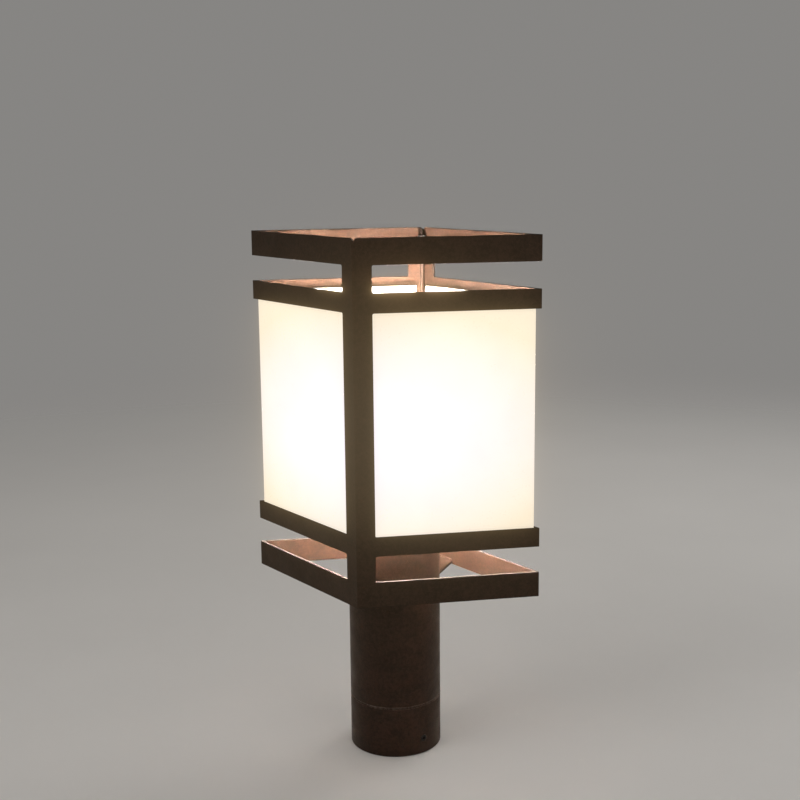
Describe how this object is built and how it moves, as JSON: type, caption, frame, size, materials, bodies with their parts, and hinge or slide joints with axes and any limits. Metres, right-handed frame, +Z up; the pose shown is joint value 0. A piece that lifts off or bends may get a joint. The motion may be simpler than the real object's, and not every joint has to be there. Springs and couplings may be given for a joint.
{
  "type": "post lantern",
  "caption": "Tall diamond-plan post lantern: folded bronze sheet frame with open bands, lift-out opal panels, lamp inside, round neck tube and a set-screw fitter for a round post.",
  "frame": {"origin": "on the neck's axis at the bottom rim of the post fitter", "axes": "+Z up along the neck; +X along the plan's long diagonal to the right tip; -Y to the near post"},
  "size_m": [0.292, 0.1784, 0.504],
  "materials": {
    "bronze_coat": "matt textured coat",
    "clip_steel": "dull spring steel",
    "zinc_steel": "zinc plated",
    "black_steel": "black oxide",
    "opal_acrylic": "opal, lit from behind",
    "porcelain": "glazed",
    "holder_brass": "plain",
    "lamp_metal": "bright",
    "lamp_cone_black": "matt",
    "frosted_glass": "frosted, lit"
  },
  "bodies": {
    "lantern": {"cap_ring": "bronze_coat", "cap_screw_1": "zinc_steel", "cap_screw_2": "zinc_steel", "cap_screw_3": "zinc_steel", "centre_contact": "holder_brass", "far_arm": "bronze_coat", "far_base_nut": "zinc_steel", "far_gusset": "bronze_coat", "far_lower_keeper": "clip_steel", "far_tie_rod": "zinc_steel", "far_top_nut": "zinc_steel", "far_upper_keeper": "clip_steel", "front_frame": "bronze_coat", "lamp_holder": "porcelain", "near_arm": "bronze_coat", "near_base_nut": "zinc_steel", "near_gusset": "bronze_coat", "near_lower_keeper": "clip_steel", "near_tie_rod": "zinc_steel", "near_top_nut": "zinc_steel", "near_upper_keeper": "clip_steel", "neck_tube": "bronze_coat", "post_fitter": "bronze_coat", "rear_frame": "bronze_coat", "rests_front_left": "clip_steel", "rests_front_right": "clip_steel", "rests_rear_left": "clip_steel", "rests_rear_right": "clip_steel", "screw_shell": "holder_brass", "stem": "zinc_steel", "stem_lock_nut": "zinc_steel", "stem_top_nut": "zinc_steel", "stem_washer": "zinc_steel", "tube_cap": "bronze_coat"},
    "lamp": {"lamp_glass": "frosted_glass", "lamp_base": "lamp_metal", "lamp_cone": "lamp_cone_black", "lamp_tip": "lamp_metal"},
    "pane_front_right": {"panel_front_right": "opal_acrylic"},
    "pane_front_left": {"panel_front_left": "opal_acrylic"},
    "pane_rear_right": {"panel_rear_right": "opal_acrylic"},
    "pane_rear_left": {"panel_rear_left": "opal_acrylic"},
    "grub_1": {"set_screw_1": "black_steel"},
    "grub_2": {"set_screw_2": "black_steel"},
    "grub_3": {"set_screw_3": "black_steel"}
  },
  "joints": [
    {"name": "lift_front_right", "type": "slide", "parent": "lantern", "child": "pane_front_right", "axis": [0, 0, 1], "range_m": [0, 0.29]},
    {"name": "lift_front_left", "type": "slide", "parent": "lantern", "child": "pane_front_left", "axis": [0, 0, 1], "range_m": [0, 0.29]},
    {"name": "lift_rear_right", "type": "slide", "parent": "lantern", "child": "pane_rear_right", "axis": [0, 0, 1], "range_m": [0, 0.29]},
    {"name": "lift_rear_left", "type": "slide", "parent": "lantern", "child": "pane_rear_left", "axis": [0, 0, 1], "range_m": [0, 0.29]},
    {"name": "lift_lamp", "type": "slide", "parent": "lantern", "child": "lamp", "axis": [0, 0, 1], "range_m": [0, 0.27]},
    {"name": "turn_out_1", "type": "slide", "parent": "lantern", "child": "grub_1", "axis": [0, 1, 0], "range_m": [-0.0015, 0.004]},
    {"name": "turn_out_2", "type": "slide", "parent": "lantern", "child": "grub_2", "axis": [-0.866, -0.5, 0], "range_m": [-0.0015, 0.004]},
    {"name": "turn_out_3", "type": "slide", "parent": "lantern", "child": "grub_3", "axis": [0.866, -0.5, 0], "range_m": [-0.0015, 0.004]}
  ]
}
